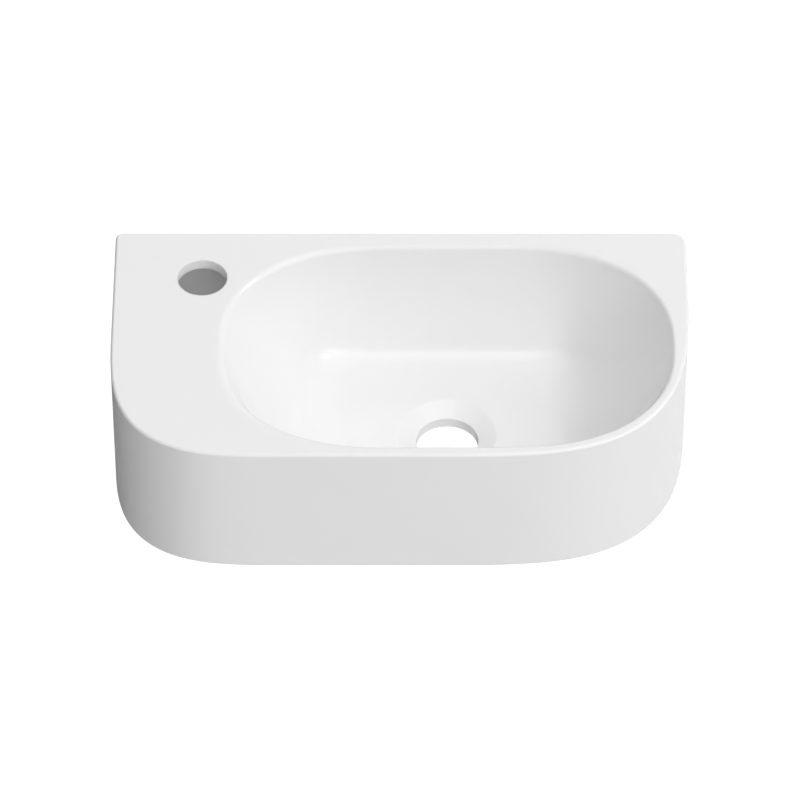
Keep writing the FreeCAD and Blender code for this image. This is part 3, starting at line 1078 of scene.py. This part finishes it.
@dataclass
class WallFixing:
    """One of the two wall fixings: plug, hanger bolt, bush, washer, nut and cover cap.

    Sizes are in millimetres; y is 0 on the wall plane and falls towards the room.
    Roundings are in the order of a profile's corners.
    """

    side: Side
    finishes: dict[str, Material]
    bolt_x: float = 135.0
    steps: int = 96
    # Hanger bolt; each run says how far from its two ends a thread starts and stops
    bolt_radius: float = 4.0
    bolt_end: float = -29.0
    bolt_pitch: float = 1.25
    bolt_thread: float = 0.62
    bolt_chamfer: Pair = (0.5, 0.7)
    bolt_collar: Pair = (1.6, 2.4)
    bolt_run: Pair = (1.0, 2.6)
    bolt_ease: float = 0.1
    screw_radius: float = 3.6
    screw_end: float = 48.0
    screw_pitch: float = 3.2
    screw_thread: float = 0.95
    screw_tip: float = 10.0
    screw_point: Pair = (0.4, 0.2)
    screw_neck: Pair = (3.0, 4.0)
    screw_run: Pair = (5.5, 0.8)
    # Foot and crest of a ridge as shares of its pitch, and how deep it is sunk in the core
    thread_shape: Pair = (0.86, 0.16)
    thread_sunk: float = 0.12
    # Wall plug
    lip: float = 0.8
    lip_radius: float = 6.7
    plug_radius: float = 6.0
    plug_arm_radius: float = 5.6
    plug_length: float = 54.0
    plug_collar: float = 14.0
    plug_nose: Pair = (1.0, 2.0)
    plug_split: float = 1.6
    plug_split_spare: float = 2.0
    plug_bore: float = 3.65
    plug_rounds: tuple[float, ...] = (0.2, 0.25, 0.0, 0.0, 0.4, 0.0, 0.0, 0.4, 0.0)
    plug_steps: int = 3
    # Ribs: their margins at both ends, and foot, crest and lean as shares of their spacing
    rib: float = 0.55
    rib_spacing: float = 3.0
    rib_margins: Pair = (2.5, 3.0)
    rib_shape: tuple[float, float, float] = (0.72, 0.12, 0.26)
    rib_sunk: float = 0.25
    # Bush and washer
    back_wall: float = 10.0
    bush_inner: float = 4.2
    bush_outer: float = 6.8
    bush_end: float = -1.0
    bush_rounds: tuple[float, ...] = (0.3, 0.6, 0.2, 0.3, 0.7, 0.2)
    flange_radius: float = 12.0
    flange: float = 2.5
    washer: float = 2.0
    washer_rounds: tuple[float, ...] = (0.15, 0.15, 0.6, 0.4)
    # Nut
    nut_flats: float = 13.0
    nut_height: float = 6.5
    nut_bore: float = 4.05
    nut_sink: float = 0.45
    nut_chamfer: float = 0.7
    nut_face_inset: float = 0.15
    nut_edge_round: float = 0.35
    nut_edge_steps: int = 3
    # Cover cap
    cap_clearance: float = 0.3
    cap_wall: float = 1.6
    cap_top: float = 2.0
    cap_headroom: float = 2.0
    cap_rounds: tuple[float, ...] = (0.0, 0.8, 0.3, 0.5, 0.1, 0.1, 0.1, 0.1, 3.0, 0.0)
    cap_steps: int = 7
    groove_place: float = 2.2
    groove_width: float = 0.7
    groove_depth: float = 0.25

    def axis(self) -> Vector:
        """Point of the bolt's axis on the wall plane, in metres."""
        sign = -1.0 if self.side is Side.LEFT else 1.0
        return Vector((sign * self.bolt_x, 0.0, 0.0)) * MM

    def node(self, piece: str) -> str:
        """A piece's name with its side, as the solids have it."""
        return f"{self.side.value}_{piece}"

    def seat(self) -> float:
        """Where the washer lies on the bush's flange."""
        return -self.back_wall - self.flange

    def nut_corner(self) -> float:
        """Radius of the nut over its corners."""
        return self.nut_flats / 2 / math.cos(math.pi / 6)

    def turned(
        self, name: str, corners: Sequence[Pair], rounds: Sequence[float] = (), steps: int = 5,
    ) -> Piece:
        """Turns a profile about the bolt's axis.

        Args:
            name: The piece's name without its side.
            corners: (radius, y) of the profile's corners.
            rounds: Rounding of each corner; none leaves all of them sharp.
            steps: Divisions of each rounding.

        Returns:
            The closed object.
        """
        profile = list(corners)
        if rounds:
            profile = rounded([(*corner, size) for corner, size in zip(corners, rounds)], steps)
        return lathe(self.node(name), profile, self.axis(), self.steps)

    def repeated(self, name: str, slot: str, start: float, sizes: dict[str, float | int],
                 fill: Callable[[Tree, Node], Socket]) -> Piece:
        """Makes a repeated shape, and turns it from Z to lie along the bolt towards the wall.

        Args:
            name: The shape's name without its side.
            slot: Slot of its material.
            start: Where its foot goes, along y.
            sizes: The tree's inputs.
            fill: What builds the tree.

        Returns:
            The shape.
        """
        piece = NodeShape(self.node(name), sizes, fill).make(self.finishes[slot])
        turn = Matrix.Rotation(-QUARTER, 4, "X")
        piece.data.transform(Matrix.Translation(self.axis() + Vector((0.0, start * MM, 0.0))) @ turn)
        return piece

    def thread(self, radius: float, pitch: float, height: float, start: float, end: float) -> Piece:
        """Ridge of a thread along part of the bolt.

        Args:
            radius: Radius over the crests.
            pitch: Distance from turn to turn.
            height: Height of the ridge.
            start: First place along y.
            end: Last place along y.

        Returns:
            The ridge as a closed object.
        """
        foot, crest = self.thread_shape
        tall = height + self.thread_sunk
        return self.repeated("thread_ridge", "plated_steel", start, {
            "Turns": (end - start) / pitch,
            "Length": (end - start) * MM,
            "Radius": (radius - tall / 2) * MM,
            "Foot": pitch * foot * MM,
            "Crest": pitch * crest * MM,
            "Height": tall * MM,
            "Lean": 0.0,
        }, helix_ridge)

    def make_bolt(self) -> Piece:
        """Hanger bolt: a wood screw with a tapering point and an M8 end with its thread.

        Returns:
            The closed object.
        """
        core, shank = self.bolt_radius - self.bolt_thread, self.screw_radius - self.screw_thread
        collar, neck = self.bolt_radius - self.bolt_ease, self.screw_radius - self.bolt_ease
        chamfer_in, chamfer_long = self.bolt_chamfer
        point_radius, point_long = self.screw_point
        collar_end, core_start = self.bolt_collar
        neck_end, shank_start = self.screw_neck
        piece = self.turned("hanger_bolt_threaded", [
            (0.0, self.bolt_end),
            (core - chamfer_in, self.bolt_end),
            (core, self.bolt_end + chamfer_long),
            (core, -self.lip - core_start),
            (collar, -self.lip - collar_end),
            (collar, -self.lip - self.bolt_ease),
            (collar - self.bolt_ease, -self.lip),
            (neck, -self.lip),
            (neck, self.lip + neck_end),
            (shank, self.lip + shank_start),
            (shank, self.screw_end - self.screw_tip),
            (point_radius, self.screw_end - point_long),
            (0.0, self.screw_end),
        ])
        start, stop = self.bolt_end + self.bolt_run[0], -self.lip - self.bolt_run[1]
        machine = self.thread(self.bolt_radius, self.bolt_pitch, self.bolt_thread, start, stop)
        join(piece, machine, Joining.ADD)
        start, stop = self.lip + self.screw_run[0], self.screw_end - self.screw_tip - self.screw_run[1]
        wood = self.thread(self.screw_radius, self.screw_pitch, self.screw_thread, start, stop)
        join(piece, wood, Joining.ADD)
        return piece

    def make_plug(self) -> Piece:
        """Wall plug: a plain collar with a thin lip, and two split arms with sawtooth ribs.

        Returns:
            The closed object.
        """
        arm = self.plug_arm_radius - self.rib
        nose_in, nose_long = self.plug_nose
        piece = self.turned("wall_plug_ribbed", [
            (self.plug_bore, -self.lip),
            (self.lip_radius, -self.lip),
            (self.lip_radius, 0.0),
            (self.plug_radius, 0.0),
            (self.plug_radius, self.plug_collar),
            (arm, self.plug_collar),
            (arm, self.plug_length - nose_long),
            (arm - nose_in, self.plug_length),
            (self.plug_bore, self.plug_length),
        ], self.plug_rounds, self.plug_steps)
        first, last = self.plug_collar + self.rib_margins[0], self.plug_length - self.rib_margins[1]
        foot, crest, lean = self.rib_shape
        tall = self.rib + self.rib_sunk
        ribs = self.repeated("plug_ribs", "plug_nylon", first, {
            "Count": int((last - first) / self.rib_spacing) + 1,
            "Spacing": self.rib_spacing * MM,
            "Radius": (self.plug_arm_radius - tall / 2) * MM,
            "Foot": self.rib_spacing * foot * MM,
            "Crest": self.rib_spacing * crest * MM,
            "Height": tall * MM,
            "Lean": self.rib_spacing * lean * MM,
        }, ring_ribs)
        join(piece, ribs, Joining.ADD)
        shape = bmesh.new()
        bmesh.ops.create_cube(shape, size=1.0)
        wide = 2 * (self.plug_radius + self.plug_split_spare)
        for vertex in shape.verts:
            vertex.co.x *= wide * MM
            vertex.co.y = (self.plug_collar + (vertex.co.y + 0.5) * self.plug_length) * MM
            vertex.co.z *= self.plug_split * MM
            vertex.co += self.axis()
        join(piece, closed_object("split", shape), Joining.TAKE_AWAY)
        return piece

    def make_bush(self) -> Piece:
        """Flanged sleeve between the bolt and the ceramic, with softened edges."""
        return self.turned("bush_moulded", [
            (self.bush_inner, self.bush_end),
            (self.bush_outer, self.bush_end),
            (self.bush_outer, -self.back_wall),
            (self.flange_radius, -self.back_wall),
            (self.flange_radius, self.seat()),
            (self.bush_inner, self.seat()),
        ], self.bush_rounds)

    def make_washer(self) -> Piece:
        """Stamped washer: one edge drawn round by the punch, the other nearly sharp."""
        return self.turned("washer_stamped", [
            (self.bush_inner, self.seat()),
            (self.flange_radius, self.seat()),
            (self.flange_radius, self.seat() - self.washer),
            (self.bush_inner, self.seat() - self.washer),
        ], self.washer_rounds)

    def make_nut(self) -> Piece:
        """Hexagon nut whose corners are turned off at both faces, with a countersunk bore.

        Returns:
            The closed object.
        """
        foot = self.seat() - self.washer
        top = foot - self.nut_height
        corner, flat = self.nut_corner(), self.nut_flats / 2 - self.nut_face_inset
        across, up = (unit_circle(6) * corner).T
        shape = capped([
            np.stack([across, np.full(6, y), up], 1) * MM + np.array(self.axis()) for y in (foot, top)
        ])
        bmesh.ops.recalc_face_normals(shape, faces=shape.faces)
        upright = [edge for edge in shape.edges if abs(edge.verts[0].co.y - edge.verts[1].co.y) > MM]
        bmesh.ops.bevel(shape, geom=upright, offset=self.nut_edge_round * MM, segments=self.nut_edge_steps,
                        profile=0.5, affect="EDGES")
        piece = closed_object(self.node("nut_hexagon"), shape)
        blank = self.turned("nut_blank", [
            (self.nut_bore, foot - self.nut_sink),
            (self.nut_bore + self.nut_sink, foot),
            (flat, foot),
            (corner, foot - self.nut_chamfer),
            (corner, top + self.nut_chamfer),
            (flat, top),
            (self.nut_bore + self.nut_sink, top),
            (self.nut_bore, top + self.nut_sink),
        ])
        join(piece, blank, Joining.KEEP_COMMON)
        return piece

    def make_cap(self) -> Piece:
        """Cover cap: a round-edged cup with a shallow groove above its mouth.

        Returns:
            The closed object.
        """
        mouth = self.seat() - self.washer - self.cap_clearance
        inner = self.nut_corner() + self.cap_clearance
        outer = inner + self.cap_wall
        inside = self.bolt_end - self.cap_headroom
        top = inside - self.cap_top
        groove, deep = mouth - self.groove_place, self.groove_depth
        return self.turned("nut_cap_moulded", [
            (0.0, inside),
            (inner, inside),
            (inner, mouth),
            (outer, mouth),
            (outer, groove),
            (outer - deep, groove - deep),
            (outer - deep, groove - self.groove_width),
            (outer, groove - self.groove_width - deep),
            (outer, top),
            (0.0, top),
        ], self.cap_rounds, self.cap_steps)

    def build(self) -> None:
        """Builds and dresses the six pieces."""
        # Each solid with what makes it, its slot and the body that carries it
        pieces = (
            ("wall_plug", self.make_plug, "plug_nylon", "basin"),
            ("hanger_bolt", self.make_bolt, "plated_steel", "basin"),
            ("bush", self.make_bush, "bush_nylon", "basin"),
            ("washer", self.make_washer, "plated_steel", self.node("washer")),
            ("nut", self.make_nut, "plated_steel", self.node("nut")),
            ("nut_cap", self.make_cap, "cap_plastic", self.node("cap")),
        )
        for solid, make, slot, body in pieces:
            finish_piece(make(), self.finishes[slot], body, self.node(solid))


def direction(bearing: float, height: float) -> Vector:
    """Unit vector from the basin, by degrees from the front towards the right and degrees upwards."""
    turn, rise = math.radians(bearing), math.radians(height)
    return Vector((math.sin(turn) * math.cos(rise), -math.cos(turn) * math.cos(rise), math.sin(rise)))


@dataclass(frozen=True)
class SoftBox:
    """An oblong soft lamp that faces the basin.

    Bearing is in degrees from the front, towards the right; distance, width and tallness are in metres.
    A lamp that isn't mirrored lights the glaze without a reflection of its own.
    A lamp that doesn't light shows only as its reflection.
    """

    name: str
    bearing: float
    height: float
    distance: float
    width: float
    tall: float
    watts: float
    mirrored: bool = True
    lights: bool = True

    def place(self, aim: Vector) -> None:
        """Puts the lamp in the scene.

        Args:
            aim: The point that it faces.
        """
        lamp = bpy.data.lights.new(self.name, "AREA")
        lamp.shape = "RECTANGLE"
        lamp.size = self.width
        lamp.size_y = self.tall
        lamp.energy = self.watts
        holder = bpy.data.objects.new(self.name, lamp)
        back = direction(self.bearing, self.height)
        holder.location = aim + back * self.distance
        holder.rotation_euler = (-back).to_track_quat("-Z", "Y").to_euler()
        holder.visible_glossy = self.mirrored
        holder.visible_diffuse = self.lights
        bpy.context.scene.collection.objects.link(holder)


@dataclass(frozen=True)
class Card:
    """A grey felt card out of the camera's sight, which darkens what the glaze mirrors at its two ends.

    Its runs across, from left to right, and along, from front to back, are in metres. It lies on the
    floor, or stands on its left edge where it has a rise. A fade says where it starts to thin out
    towards the right and where it ends.
    """

    name: str
    felt_name: str
    colour: str
    across: Pair
    along: Pair
    rise: float = 0.0
    fade: Pair | None = None
    roughness: float = 1.0

    def felt(self) -> Material:
        """Makes the card's material."""
        material, tree, shader = new_material(self.felt_name)
        shader.inputs["Base Color"].default_value = linear(self.colour)
        shader.inputs["Roughness"].default_value = self.roughness
        if self.fade:
            place = add_node(tree, "ShaderNodeTexCoord").outputs["Object"]
            along = add_node(tree, "ShaderNodeSeparateXYZ", {0: place}).outputs["X"]
            make_clear(tree, shader, map_range(tree, along, self.fade))
        return material

    def place(self, low: float) -> None:
        """Puts the card in the scene.

        Args:
            low: Height of its lowest edge.
        """
        (left, right), (front, back), high = self.across, self.along, low + self.rise
        corners = [(left, front, low), (right, front, low), (right, back, low), (left, back, low)]
        if self.rise:
            corners = [(left, front, low), (left, back, low), (left, back, high), (left, front, high)]
        piece = sheet(self.name, corners, self.felt())
        piece.visible_camera = False
        # Only the glaze mirrors the flat cards; the floor's own light stays as it is
        piece.visible_diffuse = piece.visible_shadow = bool(self.rise)


@dataclass
class Studio:
    """Pale floor, white surround, cards, soft lamps and the camera."""

    aim: Vector = field(default_factory=lambda: Vector((-0.03346, -0.110, 0.00689)))
    camera_height: float = 45.579
    camera_distance: float = 4.187
    camera_reach: float = 40.0
    focal_pixels: float = 5937.0
    image_pixels: float = 800.0
    sensor: float = 36.0
    floor_drop: float = 0.85
    floor_half: float = 6.0
    floor_colour: str = "#969696"
    floor_roughness: float = 0.9
    floor_lift: float = 0.85
    surround_light: float = 0.30
    card_clearance: float = 0.002
    cards: tuple[Card, ...] = (
        Card("card_upright", "card_grey_felt", "#A0A0A0", (-0.75, -0.75), (-1.1, 1.5), rise=1.448),
        Card("card_foot", "card_foot_felt", "#949494", (-0.75, -0.20), (0.35, 1.05)),
        Card("card_apron", "card_apron_felt", "#A0A0A0", (-0.75, -0.38), (-1.25, -0.60),
             fade=(-0.75, -0.38)),
        Card("card_right", "card_right_felt", "#E8E8E8", (0.10, 0.95), (0.25, 1.15), fade=(-0.20, 0.95)),
    )
    lamps: tuple[SoftBox, ...] = (
        SoftBox("front_left_low", -30.0, -10.0, 3.0, 3.0, 1.2, 25.6),
        SoftBox("right_front", 35.0, 35.0, 6.0, 6.0, 6.0, 55.0),
        SoftBox("right_front_high", 35.0, 62.0, 6.0, 6.0, 6.0, 108.0),
        SoftBox("right_front_veiled", 35.0, 62.0, 6.2, 6.0, 6.0, 88.8, mirrored=False),
        SoftBox("right_spot", 101.0, 41.0, 6.0, 1.6, 1.5, 50.0, lights=False),
        SoftBox("right", 65.0, 35.0, 6.0, 6.0, 6.0, 27.0),
        SoftBox("right_low", 65.0, -10.0, 3.0, 3.0, 1.2, 16.5),
        SoftBox("right_back", 130.0, 35.0, 6.0, 4.2, 1.8, 44.0, mirrored=False),
        SoftBox("back", 180.0, 35.0, 6.0, 6.0, 6.0, 44.0),
    )

    def camera(self) -> None:
        """Places the camera at the photograph's viewing angle."""
        lens = bpy.data.cameras.new("camera")
        lens.sensor_width = self.sensor
        lens.lens = self.focal_pixels / self.image_pixels * self.sensor
        lens.clip_end = self.camera_reach
        holder = bpy.data.objects.new("camera", lens)
        holder.location = self.aim + direction(0.0, self.camera_height) * self.camera_distance
        holder.rotation_euler = (QUARTER - math.radians(self.camera_height), 0.0, 0.0)
        bpy.context.scene.collection.objects.link(holder)
        bpy.context.scene.camera = holder

    def white_seen(self, tree: Tree) -> Socket:
        """One for rays that show the background: from the camera, in gloss, or through glass."""
        path = add_node(tree, "ShaderNodeLightPath").outputs
        gloss = calculate(tree, "MAXIMUM", path["Is Camera Ray"], path["Is Glossy Ray"])
        return calculate(tree, "MAXIMUM", gloss, path["Is Transmission Ray"])

    def surround(self) -> None:
        """White to the eye, and a plain even light on the object."""
        world = bpy.data.worlds.new("surround")
        bpy.context.scene.world = world
        world.use_nodes = True
        tree = world.node_tree
        strength = map_range(tree, self.white_seen(tree), new=(self.surround_light, 1.0))
        shade = tree.nodes["Background"]
        shade.inputs["Color"].default_value = WHITE
        tree.links.new(strength, shade.inputs["Strength"])

    def floor(self) -> None:
        """Pale floor well below the basin, clear when looked at from underneath."""
        material, tree, paint = new_material("floor_painted_pale")
        paint.inputs["Base Color"].default_value = linear(self.floor_colour)
        paint.inputs["Roughness"].default_value = self.floor_roughness
        paint.inputs["Emission Color"].default_value = WHITE
        lift = calculate(tree, "MULTIPLY", self.white_seen(tree), self.floor_lift)
        tree.links.new(lift, paint.inputs["Emission Strength"])
        make_clear(tree, paint, add_node(tree, "ShaderNodeNewGeometry").outputs["Backfacing"])
        half, level = self.floor_half, self.aim.z - self.floor_drop
        corners = ((-half, -half), (half, -half), (half, half), (-half, half))
        sheet("floor", [(x, y, level) for x, y in corners], material)

    def build(self) -> None:
        """Builds the surround, the floor, the cards, the lamps and the camera."""
        bpy.context.scene.view_settings.view_transform = "Standard"
        self.surround()
        self.floor()
        for card in self.cards:
            card.place(self.aim.z - self.floor_drop + self.card_clearance)
        for lamp in self.lamps:
            lamp.place(self.aim)
        self.camera()


def main() -> None:
    """Builds the basin, its two fixings and the studio."""
    logging.basicConfig(level=logging.INFO, format="%(name)s: %(message)s")
    finishes = {
        "glazed_china": CHINA.build(),
        "plug_nylon": PLUG_NYLON.build(),
        "plated_steel": STEEL.build(),
        "bush_nylon": BUSH_NYLON.build(),
        "cap_plastic": CAP_PLASTIC.build(),
    }
    BasinBody().build(finishes["glazed_china"])
    for side in Side:
        WallFixing(side, finishes).build()
    Studio().build()


if __name__ == "__main__":
    main()
